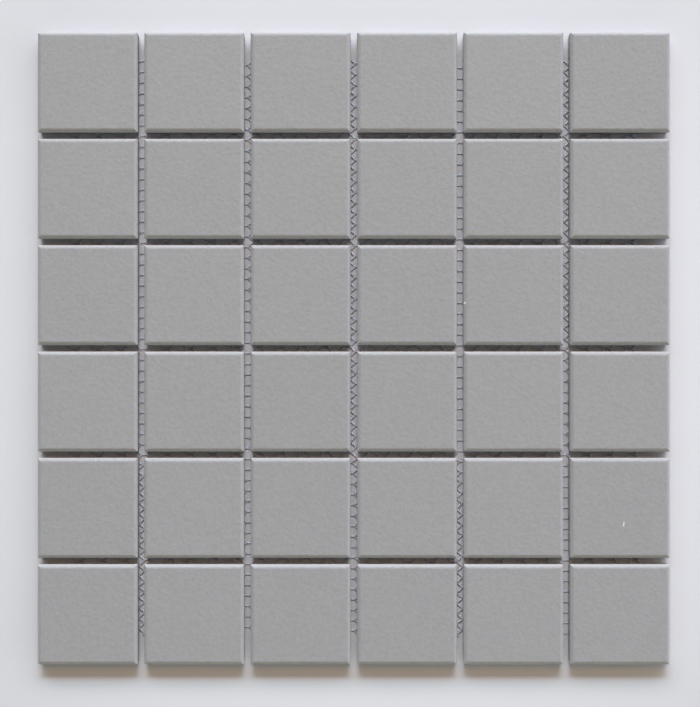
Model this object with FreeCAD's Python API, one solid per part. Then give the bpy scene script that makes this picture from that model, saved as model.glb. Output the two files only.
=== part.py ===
import FreeCAD, Part
import math
import os

# A net-backed sheet of square porcelain mosaic tiles, lying face up.
# Millimetres. The origin is the centre of the underside, +Z points up out of
# the tile faces, +X runs along a row and +Y across the rows towards row 1.

# The laying grid
tile_rows = 6
tile_columns = 6
joint_width = 3.0         # grout joint between the widest outlines of two tiles

# One pressed tile
tile_length = 48.0        # along X, at its widest
tile_width = 48.0         # along Y, at its widest
tile_thickness = 6.0
cushion_radius = 2.0      # rounding from the face down to the side
side_draft = 0.25         # how far each side leans in, from the rounding to the back
corner_radius = 0.8       # upright corners, seen from above

# Shallow key grooves pressed into the tile's back, where the adhesive grips
groove_width = 3.0        # at the mouth
groove_pitch = 7.0
groove_depth = 0.5
groove_draft = 0.3        # how far each groove wall leans in towards its floor
groove_rim = 4.0          # plain border left round the grooves

# The backing net under the tiles, as the flat sheet that it fills
net_inset = 12.0          # how far the net stays back from the outermost tiles
net_thickness = 0.5

# Worked out from the sizes above
pitch_x = tile_length + joint_width
pitch_y = tile_width + joint_width
sheet_length = tile_columns * pitch_x - joint_width
sheet_width = tile_rows * pitch_y - joint_width
back_level = net_thickness
face_level = back_level + tile_thickness
shoulder_level = face_level - cushion_radius
back_length = tile_length - 2.0 * side_draft
back_width = tile_width - 2.0 * side_draft


def plan_outline(length, width, level):
    """The tile seen from above at one level: a rectangle with rounded corners."""
    reach_x = length / 2.0 - corner_radius
    reach_y = width / 2.0 - corner_radius
    bend = corner_radius * math.sqrt(0.5)
    edges = []
    start = FreeCAD.Vector(length / 2.0, -reach_y, level)
    for side_x, side_y in ((1, 1), (-1, 1), (-1, -1), (1, -1)):
        centre = FreeCAD.Vector(side_x * reach_x, side_y * reach_y, level)
        on_x = centre + FreeCAD.Vector(side_x * corner_radius, 0.0, 0.0)
        on_y = centre + FreeCAD.Vector(0.0, side_y * corner_radius, 0.0)
        middle = centre + FreeCAD.Vector(side_x * bend, side_y * bend, 0.0)
        first, last = (on_x, on_y) if side_x == side_y else (on_y, on_x)
        edges.append(Part.LineSegment(start, first).toShape())
        edges.append(Part.Arc(first, middle, last).toShape())
        start = last
    return Part.Wire(edges)


def tile_body():
    """The tile from its back up to the shoulder, with leaning sides."""
    at_back = plan_outline(back_length, back_width, back_level)
    at_shoulder = plan_outline(tile_length, tile_width, shoulder_level)
    return Part.makeLoft([at_back, at_shoulder], True, True)


def cushion_bar(across, along):
    """The rounded top's section, "across" wide in X, drawn out along Y."""
    half = across / 2.0
    flat = half - cushion_radius
    bend = cushion_radius * math.sqrt(0.5)

    def point(x, above_shoulder):
        return FreeCAD.Vector(x, -along / 2.0, shoulder_level + above_shoulder)

    edges = [
        Part.LineSegment(point(-half, 0.0), point(half, 0.0)).toShape(),
        Part.Arc(point(half, 0.0), point(flat + bend, bend), point(flat, cushion_radius)).toShape(),
        Part.LineSegment(point(flat, cushion_radius), point(-flat, cushion_radius)).toShape(),
        Part.Arc(point(-flat, cushion_radius), point(-flat - bend, bend), point(-half, 0.0)).toShape(),
    ]
    return Part.Face(Part.Wire(edges)).extrude(FreeCAD.Vector(0.0, along, 0.0))


def tile_cushion():
    """The tile above its shoulder: rounded on all four sides, mitred at the corners."""
    outline = Part.Face(plan_outline(tile_length, tile_width, shoulder_level))
    upright = outline.extrude(FreeCAD.Vector(0.0, 0.0, cushion_radius))
    other_way = cushion_bar(tile_width, tile_length)
    other_way.rotate(FreeCAD.Vector(0.0, 0.0, 0.0), FreeCAD.Vector(0.0, 0.0, 1.0), 90.0)
    return cushion_bar(tile_length, tile_width).common(other_way).common(upright)


def key_groove(length):
    """One groove along X, wider at its mouth than at its floor."""
    mouth = groove_width / 2.0
    floor = mouth - groove_draft
    top = back_level + groove_depth
    half = length / 2.0
    corners = [(-mouth, back_level), (mouth, back_level), (floor, top), (-floor, top)]
    section = Part.makePolygon([FreeCAD.Vector(-half, y, z) for y, z in corners + corners[:1]])
    return Part.Face(section).extrude(FreeCAD.Vector(length, 0.0, 0.0))


def key_grooves():
    """All the grooves of one back, centred and kept inside its plain rim."""
    room = back_width - 2.0 * groove_rim - groove_width
    gaps = int(room / groove_pitch)
    groove = key_groove(back_length - 2.0 * groove_rim)
    grooves = []
    for index in range(gaps + 1):
        copy = groove.copy()
        copy.translate(FreeCAD.Vector(0.0, (index - gaps / 2.0) * groove_pitch, 0.0))
        grooves.append(copy)
    return grooves


def pressed_tile():
    """One tile, centred on the origin in plan and standing on the net."""
    whole = tile_body().fuse(tile_cushion()).removeSplitter()
    return whole.cut(key_grooves())


def backing_net():
    """The net's outer form: one thin sheet, centred under the tiles."""
    length = sheet_length - 2.0 * net_inset
    width = sheet_width - 2.0 * net_inset
    return Part.makeBox(length, width, net_thickness,
                        FreeCAD.Vector(-length / 2.0, -width / 2.0, 0.0))


def save(node, shape):
    """Write one named piece, after checking that it is a single sound solid."""
    if len(shape.Solids) != 1 or not shape.isValid():
        raise ValueError(node + " isn't one valid solid")
    shape.Solids[0].exportStep("parts/" + node + ".step")


os.makedirs("parts", exist_ok=True)

tile = pressed_tile()
print("tile volume, cubic centimetres:", round(tile.Volume / 1000.0, 3))

for row in range(tile_rows):
    for column in range(tile_columns):
        placed = tile.copy()
        placed.translate(FreeCAD.Vector(
            (column - (tile_columns - 1) / 2.0) * pitch_x,
            ((tile_rows - 1) / 2.0 - row) * pitch_y,
            0.0))
        save("tile_row%d_col%d" % (row + 1, column + 1), placed)

net = backing_net()
save("backing_net", net)
print("sheet, millimetres:", sheet_length, "x", sheet_width, "x", face_level)
print("net, millimetres:", net.BoundBox.XLength, "x", net.BoundBox.YLength)
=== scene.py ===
import math
import bpy
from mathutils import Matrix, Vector


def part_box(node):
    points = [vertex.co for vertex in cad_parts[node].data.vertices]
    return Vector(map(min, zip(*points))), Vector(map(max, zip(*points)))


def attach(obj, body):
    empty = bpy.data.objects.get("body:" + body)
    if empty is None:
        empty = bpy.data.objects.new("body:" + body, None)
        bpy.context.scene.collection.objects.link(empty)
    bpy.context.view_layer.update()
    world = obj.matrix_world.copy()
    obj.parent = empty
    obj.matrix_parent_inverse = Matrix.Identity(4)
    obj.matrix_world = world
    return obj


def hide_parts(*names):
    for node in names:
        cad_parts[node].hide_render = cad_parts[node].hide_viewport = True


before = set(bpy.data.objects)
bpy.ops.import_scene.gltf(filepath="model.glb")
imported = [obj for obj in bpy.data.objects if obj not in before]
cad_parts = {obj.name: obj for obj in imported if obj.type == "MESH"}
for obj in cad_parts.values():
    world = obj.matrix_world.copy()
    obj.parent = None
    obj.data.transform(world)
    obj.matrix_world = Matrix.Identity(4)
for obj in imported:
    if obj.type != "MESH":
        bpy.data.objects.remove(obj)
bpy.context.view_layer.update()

mm = 0.001
netLow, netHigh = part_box("backing_net")
tileLow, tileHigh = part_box("tile_row1_col1")
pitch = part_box("tile_row1_col2")[0].x - tileLow.x
tileNames = sorted(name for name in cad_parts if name.startswith("tile_"))
print("frame loaded:", len(tileNames), "tiles and the net's stand-in")


# small helpers for building node trees

def feed(tree, socket, value):
    # links another node's socket, or sets a plain value
    if isinstance(value, bpy.types.NodeSocket):
        tree.links.new(value, socket)
    else:
        socket.default_value = value


def addNode(tree, kind, inputs=(), **settings):
    node = tree.nodes.new(kind)
    for name, value in settings.items():
        setattr(node, name, value)
    for key, value in dict(inputs).items():
        feed(tree, node.inputs[key], value)
    return node


def result(tree, kind, inputs=(), **settings):
    return addNode(tree, kind, inputs, **settings).outputs[0]


def mathNode(tree, operation, first, second=0.0, third=0.0):
    node = addNode(tree, "ShaderNodeMath", operation=operation)
    for socket, value in zip(node.inputs, (first, second, third)):
        feed(tree, socket, value)
    return node.outputs[0]


def vectorNode(tree, operation, first, second=(0, 0, 0), output="Vector"):
    node = addNode(tree, "ShaderNodeVectorMath", {0: first, 1: second}, operation=operation)
    return node.outputs[output]


def scaledVector(tree, vector, factor):
    return result(tree, "ShaderNodeVectorMath", {0: vector, "Scale": factor}, operation="SCALE")


def apart(tree, vector):
    return addNode(tree, "ShaderNodeSeparateXYZ", {0: vector}).outputs


def together(tree, x=0.0, y=0.0, z=0.0):
    return result(tree, "ShaderNodeCombineXYZ", {"X": x, "Y": y, "Z": z})


def softStep(tree, value, start, end, height=1.0):
    return result(tree, "ShaderNodeMapRange", {
        "Value": value, "From Min": start, "From Max": end, "To Max": height},
        interpolation_type="SMOOTHSTEP")


def addSocket(tree, name, kind, direction="INPUT", value=None):
    socket = tree.interface.new_socket(name, in_out=direction, socket_type=kind)
    if value is not None:
        socket.default_value = value


def setInputs(modifier, values):
    # a modifier's values are set by the sockets' identifiers, which their names lead to
    for item in modifier.node_group.interface.items_tree:
        if item.item_type == "SOCKET" and item.in_out == "INPUT" and item.name in values:
            modifier[item.identifier] = values[item.name]


def plainMesh(name, tree, values):
    # runs a node tree on an empty mesh and keeps only its result
    holder = bpy.data.objects.new(name + "Holder", bpy.data.meshes.new(name + "Empty"))
    bpy.context.scene.collection.objects.link(holder)
    modifier = holder.modifiers.new("nodes", "NODES")
    modifier.node_group = tree
    setInputs(modifier, values)
    bpy.context.view_layer.update()
    evaluated = holder.evaluated_get(bpy.context.evaluated_depsgraph_get())
    mesh = bpy.data.meshes.new_from_object(evaluated)
    bpy.data.objects.remove(holder)
    mesh.name = name
    piece = bpy.data.objects.new(name, mesh)
    bpy.context.scene.collection.objects.link(piece)
    return piece


# the camera looks straight down on the sheet

cameraView = {
    "height": 550 * mm,          # above the floor
    "pixelsPerMm": 2.0836,       # at the level where the tiles are widest
    "widestBelowFace": 2 * mm,
    "framePixels": 707,          # the frame's longer side
    "sensor": 36.0,
    "offsetPixels": (3.8, 5.1),  # how far the sheet sits right of and above the frame's middle
    "clipStart": 10 * mm,
}


def makeCamera():
    widest = tileHigh.z - cameraView["widestBelowFace"]
    seen = cameraView["framePixels"] / cameraView["pixelsPerMm"] * mm
    camera = bpy.data.cameras.new("camera")
    camera.sensor_width = cameraView["sensor"]
    camera.lens = cameraView["sensor"] * (cameraView["height"] - widest) / seen
    right, up = cameraView["offsetPixels"]
    camera.shift_x = -right / cameraView["framePixels"]
    camera.shift_y = -up / cameraView["framePixels"]
    camera.clip_start = cameraView["clipStart"]
    holder = bpy.data.objects.new("camera", camera)
    holder.location = (0, 0, cameraView["height"])
    bpy.context.scene.collection.objects.link(holder)
    bpy.context.scene.camera = holder


makeCamera()
print("camera placed")


# the knitted backing net: zigzag chains along Y, with short laid-in yarns between them

netYarn = {
    "columnPitch": 5.47 * mm,
    "rowPitch": 5.127 * mm,
    "firstChain": -137.56 * mm,   # the chain nearest the left edge
    "chains": 51,
    "pointsPerRow": 6,            # along a chain
    "rungLength": 2.7 * mm,
    "rungSag": 0.04,              # how far a rung's ends hang down, as a share of its length
    "rungLevel": 0.8 * mm,        # a rung of the first column, by the middle
    "lean": 0.0123,               # the rows rise a little from left to right
    "rowStretch": 0.051,          # and lie further apart towards the top, per metre
    "sides": 5,                   # of a yarn's section
    "chainWidth": 1.0 * mm,
    "chainHeight": 0.35 * mm,
    "rungWidth": 1.0 * mm,
    "rungHeight": 0.2 * mm,
    "areaShare": 0.31,            # how much of the net's outline the yarns cover
    "wander": 0.18 * mm,          # how far the yarns stray from their pattern
    "wanderScale": 90.0,          # of the noise that leads them astray, per metre
    "seed": 4,
    "slip": (-38 * mm, -72 * mm, 2.2 * mm),    # between these levels the net shifts right, this far
    "pulls": (                    # where the net was dragged sideways: place, reach and how far
        ((-51 * mm, 80 * mm), 55 * mm, 0.35 * mm),
        ((-51 * mm, -15 * mm), 35 * mm, 1.6 * mm),
        ((102 * mm, -28 * mm), 22 * mm, 1.3 * mm),
        ((25 * mm, -120 * mm), 60 * mm, 0.7 * mm),
        ((-51 * mm, -135 * mm), 30 * mm, -1.4 * mm),
    ),
}


def pointPlace(tree):
    return result(tree, "GeometryNodeInputPosition")


def stepsFrom(tree, value, start, step):
    return mathNode(tree, "DIVIDE", mathNode(tree, "SUBTRACT", value, start), step)


def spanOf(tree, count, step):
    # from the first to the last of so many points
    return mathNode(tree, "MULTIPLY", mathNode(tree, "SUBTRACT", count, 1.0), step)


def pulledAside(tree):
    # the slip of the net's lower part and the soft sideways pulls, summed at each point
    upper, lower, slip = netYarn["slip"]
    total = softStep(tree, apart(tree, pointPlace(tree))["Y"], upper, lower, slip)
    for (x, y), reach, far in netYarn["pulls"]:
        away = vectorNode(tree, "SUBTRACT", pointPlace(tree), (x, y, 0))
        squared = vectorNode(tree, "DOT_PRODUCT", away, away, output="Value")
        fade = mathNode(tree, "EXPONENT", mathNode(tree, "DIVIDE", squared, -reach * reach))
        total = mathNode(tree, "MULTIPLY_ADD", fade, far, total)
    return total


def laidByHand(tree, geometry, given):
    # points stray by a slow noise, then the net leans, stretches and is pulled aside
    noise = addNode(tree, "ShaderNodeTexNoise", {
        "Vector": pointPlace(tree), "W": given["Seed"], "Scale": netYarn["wanderScale"], "Detail": 1.0},
        noise_dimensions="4D").outputs["Color"]
    # the noise runs from 0 to 1, so twice what is left around its middle runs from -1 to 1
    centred = vectorNode(tree, "SUBTRACT", noise, (0.5, 0.5, 0.5))
    level = vectorNode(tree, "MULTIPLY", centred, (1, 1, 0))
    stray = scaledVector(tree, level, mathNode(tree, "MULTIPLY", given["Wander"], 2.0))
    moved = result(tree, "GeometryNodeSetPosition", {"Geometry": geometry, "Offset": stray})
    place = apart(tree, pointPlace(tree))
    squared = mathNode(tree, "MULTIPLY", place["Y"], place["Y"])
    stretched = mathNode(tree, "MULTIPLY", squared, given["Row Stretch"])
    up = mathNode(tree, "MULTIPLY_ADD", place["X"], given["Lean"], stretched)
    shift = together(tree, pulledAside(tree), up)
    return result(tree, "GeometryNodeSetPosition", {"Geometry": moved, "Offset": shift})


def cutAtEdge(tree, geometry, halfLength):
    along = mathNode(tree, "ABSOLUTE", apart(tree, pointPlace(tree))["Y"])
    beyond = mathNode(tree, "GREATER_THAN", along, halfLength)
    return result(tree, "GeometryNodeDeleteGeometry", {
        "Geometry": geometry, "Selection": beyond}, domain="POINT")


def keptField(tree, geometry, name, field):
    # the geometry with a value remembered at each of its points, and that value
    node = addNode(tree, "GeometryNodeCaptureAttribute", {0: geometry}, domain="POINT")
    node.capture_items.new("FLOAT", name)
    tree.links.new(field, node.inputs[1])
    return node.outputs[0], node.outputs[1]


def yarnAround(tree, curves, width, height):
    # an oval yarn that stands on the floor, with its own length and girth kept for the twist
    length = addNode(tree, "GeometryNodeSplineParameter").outputs["Length"]
    kept, along = keptField(tree, curves, "along", length)
    circle = result(tree, "GeometryNodeCurvePrimitiveCircle", {
        "Resolution": netYarn["sides"], "Radius": 0.5})
    turn = addNode(tree, "GeometryNodeSplineParameter").outputs["Factor"]
    section, around = keptField(tree, circle, "round", turn)
    turned = result(tree, "GeometryNodeTransform", {
        "Geometry": section, "Rotation": (0, 0, -math.pi / 2)})
    # one flat side of the section lies on the floor, and a corner is uppermost
    below = 0.5 * math.cos(math.pi / netYarn["sides"])
    full = mathNode(tree, "DIVIDE", height, 0.5 + below)
    oval = result(tree, "GeometryNodeTransform", {
        "Geometry": turned, "Scale": together(tree, width, full, 1.0)})
    tube = result(tree, "GeometryNodeCurveToMesh", {
        "Curve": kept, "Profile Curve": oval, "Fill Caps": True})
    lift = together(tree, z=mathNode(tree, "MULTIPLY", full, below))
    raised = result(tree, "GeometryNodeTransform", {"Geometry": tube, "Translation": lift})
    return result(tree, "GeometryNodeStoreNamedAttribute", {
        "Geometry": raised, "Name": "yarnWay", "Value": together(tree, along, around)},
        data_type="FLOAT_VECTOR", domain="POINT")


def finishNet(tree, mesh, material):
    smooth = result(tree, "GeometryNodeSetShadeSmooth", {0: mesh})
    real = result(tree, "GeometryNodeRealizeInstances", {0: smooth})
    painted = result(tree, "GeometryNodeSetMaterial", {"Geometry": real, "Material": material})
    addNode(tree, "NodeGroupOutput", {0: painted})


def newNetTree(name):
    tree = bpy.data.node_groups.new(name, "GeometryNodeTree")
    addSocket(tree, "Geometry", "NodeSocketGeometry")
    addSocket(tree, "Geometry", "NodeSocketGeometry", "OUTPUT")
    for label in ("Column Pitch", "Row Pitch", "Rung Length", "First Chain", "Rung Level", "Lean",
                  "Row Stretch", "Half Length", "Yarn Width", "Yarn Height", "Wander", "Seed"):
        addSocket(tree, label, "NodeSocketFloat")
    addSocket(tree, "Chains", "NodeSocketInt", value=2)
    addSocket(tree, "Material", "NodeSocketMaterial")
    return tree, addNode(tree, "NodeGroupInput").outputs


def chainTree():
    # every chain is one curve; neighbouring chains swing the opposite way
    tree, given = newNetTree("knittedChains")
    step = mathNode(tree, "DIVIDE", given["Row Pitch"], float(netYarn["pointsPerRow"]))
    reach = mathNode(tree, "ADD", given["Half Length"], given["Row Pitch"])
    fullLength = mathNode(tree, "MULTIPLY", reach, 2.0)
    count = mathNode(tree, "CEIL", mathNode(tree, "DIVIDE", fullLength, step))
    # starting on a rung's own level keeps the turning points of the zigzag sharp
    rowsBelow = mathNode(tree, "CEIL", mathNode(tree, "DIVIDE", reach, given["Row Pitch"]))
    below = mathNode(tree, "MULTIPLY", rowsBelow, given["Row Pitch"])
    start = mathNode(tree, "SUBTRACT", given["Rung Level"], below)
    end = mathNode(tree, "ADD", start, mathNode(tree, "MULTIPLY", count, step))
    line = result(tree, "GeometryNodeCurvePrimitiveLine", {
        "Start": together(tree, y=start), "End": together(tree, y=end)})
    fine = result(tree, "GeometryNodeResampleCurve", {
        "Curve": line, "Count": mathNode(tree, "ADD", count, 1.0)})
    places = result(tree, "GeometryNodeMeshLine", {
        "Count": given["Chains"],
        "Start Location": together(tree, given["First Chain"]),
        "Offset": together(tree, given["Column Pitch"])})
    spread = result(tree, "GeometryNodeInstanceOnPoints", {"Points": places, "Instance": fine})
    curves = result(tree, "GeometryNodeRealizeInstances", {0: spread})
    place = apart(tree, pointPlace(tree))
    number = mathNode(tree, "ROUND", stepsFrom(
        tree, place["X"], given["First Chain"], given["Column Pitch"]))
    turns = stepsFrom(tree, place["Y"], given["Rung Level"], given["Row Pitch"])
    phase = mathNode(tree, "ADD", turns, mathNode(tree, "MULTIPLY", number, 0.5))
    # a triangle wave from 1 at a rung of this chain's own column to -1 half a row on
    fold = mathNode(tree, "PINGPONG", mathNode(tree, "ADD", phase, 0.5), 0.5)
    wave = mathNode(tree, "SUBTRACT", mathNode(tree, "MULTIPLY", fold, 4.0), 1.0)
    room = mathNode(tree, "SUBTRACT", given["Column Pitch"], given["Rung Length"])
    swing = mathNode(tree, "MULTIPLY", room, 0.5)
    aside = together(tree, mathNode(tree, "MULTIPLY", wave, swing))
    swung = result(tree, "GeometryNodeSetPosition", {"Geometry": curves, "Offset": aside})
    cut = cutAtEdge(tree, laidByHand(tree, swung, given), given["Half Length"])
    yarns = yarnAround(tree, cut, given["Yarn Width"], given["Yarn Height"])
    finishNet(tree, yarns, given["Material"])
    return tree


def rungTree():
    # short arched yarns, half a row lower in every other column
    tree, given = newNetTree("laidRungs")
    rowsUp = mathNode(tree, "CEIL", mathNode(
        tree, "DIVIDE", given["Half Length"], given["Row Pitch"]))
    # as many rows down as up, with the middle one and a spare one at each end
    rows = mathNode(tree, "MULTIPLY_ADD", rowsUp, 2.0, 3.0)
    columns = mathNode(tree, "SUBTRACT", given["Chains"], 1.0)
    grid = result(tree, "GeometryNodeMeshGrid", {
        "Size X": spanOf(tree, columns, given["Column Pitch"]),
        "Size Y": spanOf(tree, rows, given["Row Pitch"]),
        "Vertices X": columns, "Vertices Y": rows})
    # the grid is centred, so it moves until its first column is the one right of the first chain
    halfWay = mathNode(tree, "MULTIPLY", columns, 0.5)
    right = mathNode(tree, "MULTIPLY_ADD", halfWay, given["Column Pitch"], given["First Chain"])
    shifted = result(tree, "GeometryNodeTransform", {
        "Geometry": grid, "Translation": together(tree, right, given["Rung Level"])})
    number = mathNode(tree, "FLOOR", stepsFrom(
        tree, apart(tree, pointPlace(tree))["X"], given["First Chain"], given["Column Pitch"]))
    odd = mathNode(tree, "FLOORED_MODULO", number, 2.0)
    lower = mathNode(tree, "MULTIPLY", mathNode(tree, "MULTIPLY", odd, given["Row Pitch"]), -0.5)
    staggered = result(tree, "GeometryNodeSetPosition", {
        "Geometry": shifted, "Offset": together(tree, y=lower)})
    reach = mathNode(tree, "MULTIPLY_ADD", given["Yarn Width"], -0.5, given["Half Length"])
    kept = cutAtEdge(tree, laidByHand(tree, staggered, given), reach)
    half = mathNode(tree, "MULTIPLY", given["Rung Length"], 0.5)
    sag = mathNode(tree, "MULTIPLY", given["Rung Length"], -netYarn["rungSag"])
    arch = result(tree, "GeometryNodeCurveQuadraticBezier", {
        "Resolution": 3,
        "Start": together(tree, mathNode(tree, "MULTIPLY", half, -1.0), sag),
        "Middle": together(tree, y=mathNode(tree, "MULTIPLY", sag, -2.0)),
        "End": together(tree, half, sag)})
    spread = result(tree, "GeometryNodeInstanceOnPoints", {"Points": kept, "Instance": arch})
    curves = result(tree, "GeometryNodeRealizeInstances", {0: spread})
    yarns = yarnAround(tree, curves, given["Yarn Width"], given["Yarn Height"])
    finishNet(tree, yarns, given["Material"])
    return tree


def makeNet(material):
    shared = {
        "Column Pitch": netYarn["columnPitch"], "Row Pitch": netYarn["rowPitch"],
        "Rung Length": netYarn["rungLength"], "First Chain": netYarn["firstChain"],
        "Rung Level": netYarn["rungLevel"], "Lean": netYarn["lean"],
        "Row Stretch": netYarn["rowStretch"], "Wander": netYarn["wander"],
        "Seed": float(netYarn["seed"]), "Half Length": netHigh.y,
        "Chains": netYarn["chains"], "Material": material}
    chains = plainMesh("netChains", chainTree(), {
        **shared, "Yarn Width": netYarn["chainWidth"], "Yarn Height": netYarn["chainHeight"]})
    rungs = plainMesh("netRungs", rungTree(), {
        **shared, "Yarn Width": netYarn["rungWidth"], "Yarn Height": netYarn["rungHeight"]})
    for piece in (chains, rungs):
        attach(piece, "root")
        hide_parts("backing_net")
        print(piece.name, "faces:", len(piece.data.polygons))


# finishes

def newMaterial(name):
    material = bpy.data.materials.new(name)
    material.use_nodes = True
    tree = material.node_tree
    return material, tree, tree.nodes["Principled BSDF"]


def objectPlace(tree):
    return addNode(tree, "ShaderNodeTexCoord").outputs["Object"]


def unevenGroup():
    # a slow unevenness as a tone around 1, used on the tiles, the yarn and the floor
    tree = bpy.data.node_groups.new("slowlyUneven", "ShaderNodeTree")
    addSocket(tree, "Vector", "NodeSocketVector")
    addSocket(tree, "Size", "NodeSocketFloat", value=0.02)
    addSocket(tree, "Amount", "NodeSocketFloat", value=0.02)
    addSocket(tree, "Tone", "NodeSocketFloat", "OUTPUT")
    given = addNode(tree, "NodeGroupInput").outputs
    cloud = result(tree, "ShaderNodeTexNoise", {
        "Vector": given["Vector"], "Scale": mathNode(tree, "DIVIDE", 1.0, given["Size"]), "Detail": 2.0})
    centred = mathNode(tree, "SUBTRACT", cloud, 0.5)
    addNode(tree, "NodeGroupOutput", {
        "Tone": mathNode(tree, "MULTIPLY_ADD", centred, given["Amount"], 1.0)})
    return tree


uneven = unevenGroup()


def unevenTone(tree, place, size, amount):
    return result(tree, "ShaderNodeGroup", {
        "Vector": place, "Size": size, "Amount": amount}, node_tree=uneven)


porcelain = {
    "colour": (0.362, 0.362, 0.371),
    "roughness": 0.62,
    "diffuseRoughness": 0.15,
    "grainSize": 1.8 * mm,
    "grainAmount": 0.16,
    "grainRelief": 0.125 * mm,
    "mottleSize": 14 * mm,
    "mottleAmount": 0.04,
    "tileTone": 0.012,           # how much one tile may differ from the mean
    "rimFrom": 1.7 * mm,         # painted highlight: the rounded edges grow a little paler, from this far in
    "rimTone": 0.14,
    "rimLevel": 4.4 * mm,        # down to where the upright sides start
    "rimBlend": 0.4 * mm,
    "sidePaintedShade": -0.2,            # painted shade: the sides below, down in the joints, are darker
    "seed": 7,
    "speckCell": 9 * mm,         # at most one pale speck in each such cell
    "speckShare": 0.12,          # in this share of the cells
    "speckSize": 0.35 * mm,
    "speckTone": 0.16,
}

# what has befallen single tiles: a white chip, and a short pale scratch
tileMarks = (
    {"at": (53.1 * mm, 21.8 * mm), "reach": (0.62 * mm, 0.62 * mm), "turn": 0.0, "tone": 0.95},
    {"at": (129.1 * mm, -84.0 * mm), "reach": (0.5 * mm, 1.5 * mm), "turn": 8.0, "tone": 0.6},
)

markLook = {
    "colour": (0.88, 0.88, 0.88, 1),
    "fade": (1.1, 0.6),          # from nothing to full, as shares of the mark's reach
}


def withinTile(tree, place):
    # the tile's own number in the grid, and how far a point lies inside its edge
    grid = vectorNode(tree, "DIVIDE", place, (pitch, pitch, 1.0))
    number = vectorNode(tree, "FLOOR", grid)
    inside = apart(tree, vectorNode(tree, "SUBTRACT", grid, number))
    across = mathNode(tree, "ABSOLUTE", mathNode(tree, "SUBTRACT", inside["X"], 0.5))
    along = mathNode(tree, "ABSOLUTE", mathNode(tree, "SUBTRACT", inside["Y"], 0.5))
    furthest = mathNode(tree, "MULTIPLY", mathNode(tree, "MAXIMUM", across, along), pitch)
    return number, mathNode(tree, "SUBTRACT", (tileHigh.x - tileLow.x) / 2, furthest)


def paintedEdgeLight(tree, place, inward):
    # painted highlight: paler towards the outermost line of the rounded edges; painted shade: darker on
    # the sides below them
    look = porcelain
    level = apart(tree, place)["Z"]
    onTop = softStep(tree, level, look["rimLevel"], look["rimLevel"] + look["rimBlend"])
    rim = softStep(tree, inward, look["rimFrom"], 0.0, look["rimTone"])
    # painted shade on the upright sides, painted highlight on the rim above them
    overSide = mathNode(tree, "SUBTRACT", rim, look["sidePaintedShade"])
    return mathNode(tree, "MULTIPLY_ADD", onTop, overSide, look["sidePaintedShade"])


def ownTone(tree, number):
    # each tile is a little lighter or darker than the next
    seeded = vectorNode(tree, "ADD", number, (porcelain["seed"], 0, 0))
    chance = addNode(tree, "ShaderNodeTexWhiteNoise", {"Vector": seeded}, noise_dimensions="2D")
    centred = mathNode(tree, "SUBTRACT", chance.outputs["Value"], 0.5)
    return mathNode(tree, "MULTIPLY", centred, 2 * porcelain["tileTone"])


def speckTone(tree, place):
    look = porcelain
    cells = addNode(tree, "ShaderNodeTexVoronoi", {
        "Vector": place, "Scale": 1.0 / look["speckCell"]}).outputs
    chance = result(tree, "ShaderNodeSeparateColor", {0: cells["Color"]})
    chosen = mathNode(tree, "LESS_THAN", chance, look["speckShare"])
    reach = look["speckSize"] / look["speckCell"]
    spot = softStep(tree, cells["Distance"], reach, 0.5 * reach, look["speckTone"])
    return mathNode(tree, "MULTIPLY", chosen, spot)


def markGroup():
    # a soft oval patch at a given place
    tree = bpy.data.node_groups.new("ovalMark", "ShaderNodeTree")
    for label in ("Vector", "Centre", "Reach"):
        addSocket(tree, label, "NodeSocketVector")
    addSocket(tree, "Turn", "NodeSocketFloat")
    addSocket(tree, "Mask", "NodeSocketFloat", "OUTPUT")
    given = addNode(tree, "NodeGroupInput").outputs
    turned = result(tree, "ShaderNodeVectorRotate", {
        "Vector": given["Vector"], "Center": given["Centre"], "Angle": given["Turn"]},
        rotation_type="Z_AXIS")
    away = vectorNode(tree, "SUBTRACT", turned, given["Centre"])
    level = vectorNode(tree, "MULTIPLY", away, (1, 1, 0))
    scaled = vectorNode(tree, "DIVIDE", level, given["Reach"])
    far = vectorNode(tree, "LENGTH", scaled, output="Value")
    addNode(tree, "NodeGroupOutput", {"Mask": softStep(tree, far, *markLook["fade"])})
    return tree


def markMask(tree, marks, place, mark):
    mask = result(tree, "ShaderNodeGroup", {
        "Vector": place, "Centre": (*mark["at"], 0), "Reach": (*mark["reach"], 1),
        "Turn": math.radians(mark["turn"])}, node_tree=marks)
    return mathNode(tree, "MULTIPLY", mask, mark["tone"])


def porcelainMaterial():
    look = porcelain
    material, tree, shader = newMaterial("greyPorcelain")
    place = objectPlace(tree)
    grain = result(tree, "ShaderNodeTexNoise", {
        "Vector": place, "Scale": 1.0 / look["grainSize"], "Detail": 1.0})
    number, inward = withinTile(tree, place)
    tone = unevenTone(tree, place, look["mottleSize"], look["mottleAmount"])
    centred = mathNode(tree, "SUBTRACT", grain, 0.5)
    tone = mathNode(tree, "MULTIPLY_ADD", centred, look["grainAmount"], tone)
    # the edges' painted highlight and the sides' painted shade join the tone here
    for share in (paintedEdgeLight(tree, place, inward), ownTone(tree, number), speckTone(tree, place)):
        tone = mathNode(tree, "ADD", tone, share)
    colour = scaledVector(tree, look["colour"], tone)
    marks = markGroup()
    for mark in tileMarks:
        colour = addNode(tree, "ShaderNodeMix", {
            "Factor": markMask(tree, marks, place, mark), "A": colour, "B": markLook["colour"]},
            data_type="RGBA").outputs["Result"]
    feed(tree, shader.inputs["Base Color"], colour)
    feed(tree, shader.inputs["Roughness"], look["roughness"])
    feed(tree, shader.inputs["Diffuse Roughness"], look["diffuseRoughness"])
    feed(tree, shader.inputs["Normal"], result(tree, "ShaderNodeBump", {
        "Height": grain, "Strength": 1.0, "Distance": look["grainRelief"]}))
    return material


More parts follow.
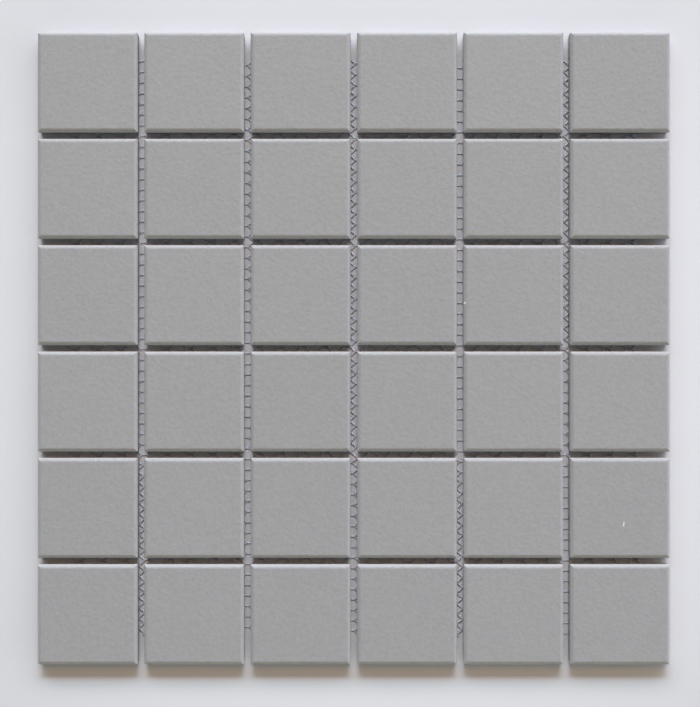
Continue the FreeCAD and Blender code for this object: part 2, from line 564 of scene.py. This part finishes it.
yarn = {
    "colour": (0.69, 0.71, 0.81),
    "roughness": 0.8,
    "twist": 1.1 * mm,           # the length of one turn of the yarn's plies
    "plies": 2.0,
    "plyTone": 0.04,
    "plyStrength": 0.6,
    "plyRelief": 0.08 * mm,
    "stainSize": 9 * mm,
    "stainAmount": 0.08,
}


def yarnMaterial():
    material, tree, shader = newMaterial("netYarn")
    way = apart(tree, addNode(tree, "ShaderNodeAttribute", attribute_name="yarnWay").outputs["Vector"])
    along = mathNode(tree, "DIVIDE", way["X"], yarn["twist"])
    turns = mathNode(tree, "ADD", along, mathNode(tree, "MULTIPLY", way["Y"], yarn["plies"]))
    plies = mathNode(tree, "SINE", mathNode(tree, "MULTIPLY", turns, 2 * math.pi))
    tone = unevenTone(tree, objectPlace(tree), yarn["stainSize"], yarn["stainAmount"])
    darker = mathNode(tree, "SUBTRACT", tone, yarn["plyTone"])
    tone = mathNode(tree, "MULTIPLY_ADD", plies, yarn["plyTone"], darker)
    feed(tree, shader.inputs["Base Color"], scaledVector(tree, yarn["colour"], tone))
    feed(tree, shader.inputs["Roughness"], yarn["roughness"])
    feed(tree, shader.inputs["Normal"], result(tree, "ShaderNodeBump", {
        "Height": plies, "Strength": yarn["plyStrength"], "Distance": yarn["plyRelief"]}))
    return material


def finishTiles():
    material = porcelainMaterial()
    for name in tileNames:
        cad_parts[name].data.materials.clear()
        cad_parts[name].data.materials.append(material)


finishTiles()
makeNet(yarnMaterial())
print("net and tiles finished")


# a plain pale floor, and the light

stage = {
    "floorSize": 6.0,
    "floorColour": (0.745, 0.75, 0.79),
    "roughness": 0.8,
    "cloudSize": 60 * mm,
    "cloudAmount": 0.02,
    "dimFrom": 165 * mm,         # painted shade: the floor is a little darker away from the sheet, from here
    "dimTo": 260 * mm,
    "dimPaintedShade": 0.07,
}

# each lamp's way is its azimuth, from +Y towards +X, and its elevation
lamps = {
    "windowTop": {
        "way": (0, 35), "distance": 6.5, "size": (3.6, 1.0),
        "watts": 263, "colour": (0.78, 0.84, 1.0)},
    "windowMiddle": {
        "way": (3, 31), "distance": 6.5, "size": (11.4, 1.15),
        "watts": 218, "colour": (0.46, 0.89, 1.0)},
    "windowBottom": {
        "way": (3, 23), "distance": 6.5, "size": (11.4, 1.15),
        "watts": 389, "colour": (1.0, 0.88, 0.88)},
    "ceiling": {
        "way": (0, 60), "distance": 3.0, "size": (2.6, 1.2),
        "watts": 18.2, "colour": (1.0, 0.55, 0.17)},
    "rightWall": {
        "way": (90, 14), "distance": 3.0, "size": (4.0, 1.2),
        "watts": 43, "colour": (0.97, 0.91, 1.0)},
    "nearWall": {
        "way": (180, 14), "distance": 3.0, "size": (5.0, 1.2),
        "watts": 37.4, "colour": (0.98, 1.0, 0.81)},
}
roomLight = (0.075, 0.078, 0.065)


def makeFloor():
    half = stage["floorSize"] / 2
    corners = [(-half, -half, 0), (half, -half, 0), (half, half, 0), (-half, half, 0)]
    mesh = bpy.data.meshes.new("floor")
    mesh.from_pydata(corners, [], [(0, 1, 2, 3)])
    floor = bpy.data.objects.new("floor", mesh)
    bpy.context.scene.collection.objects.link(floor)
    material, tree, shader = newMaterial("paleFloor")
    place = objectPlace(tree)
    away = vectorNode(tree, "LENGTH", place, output="Value")
    cloud = unevenTone(tree, place, stage["cloudSize"], stage["cloudAmount"])
    # painted shade: the floor darkens away from the sheet
    paintedDim = softStep(tree, away, stage["dimFrom"], stage["dimTo"], stage["dimPaintedShade"])
    tone = mathNode(tree, "SUBTRACT", cloud, paintedDim)
    feed(tree, shader.inputs["Base Color"], scaledVector(tree, stage["floorColour"], tone))
    feed(tree, shader.inputs["Roughness"], stage["roughness"])
    mesh.materials.append(material)


def makeLamp(name, given):
    lamp = bpy.data.lights.new(name, "AREA")
    lamp.shape = "RECTANGLE"
    lamp.size, lamp.size_y = given["size"]
    lamp.energy = given["watts"]
    lamp.color = given["colour"]
    holder = bpy.data.objects.new(name, lamp)
    turn, rise = (math.radians(angle) for angle in given["way"])
    away = Vector((math.sin(turn) * math.cos(rise), math.cos(turn) * math.cos(rise), math.sin(rise)))
    holder.location = away * given["distance"]
    holder.rotation_euler = away.to_track_quat("Z", "Y").to_euler()
    holder.visible_camera = False
    bpy.context.scene.collection.objects.link(holder)


def makeLight():
    for name, given in lamps.items():
        makeLamp(name, given)
    world = bpy.data.worlds.new("room")
    world.use_nodes = True
    world.node_tree.nodes["Background"].inputs["Color"].default_value = (*roomLight, 1)
    bpy.context.scene.world = world


makeFloor()
makeLight()
bpy.context.scene.view_settings.view_transform = "Standard"
print("floor and light made")
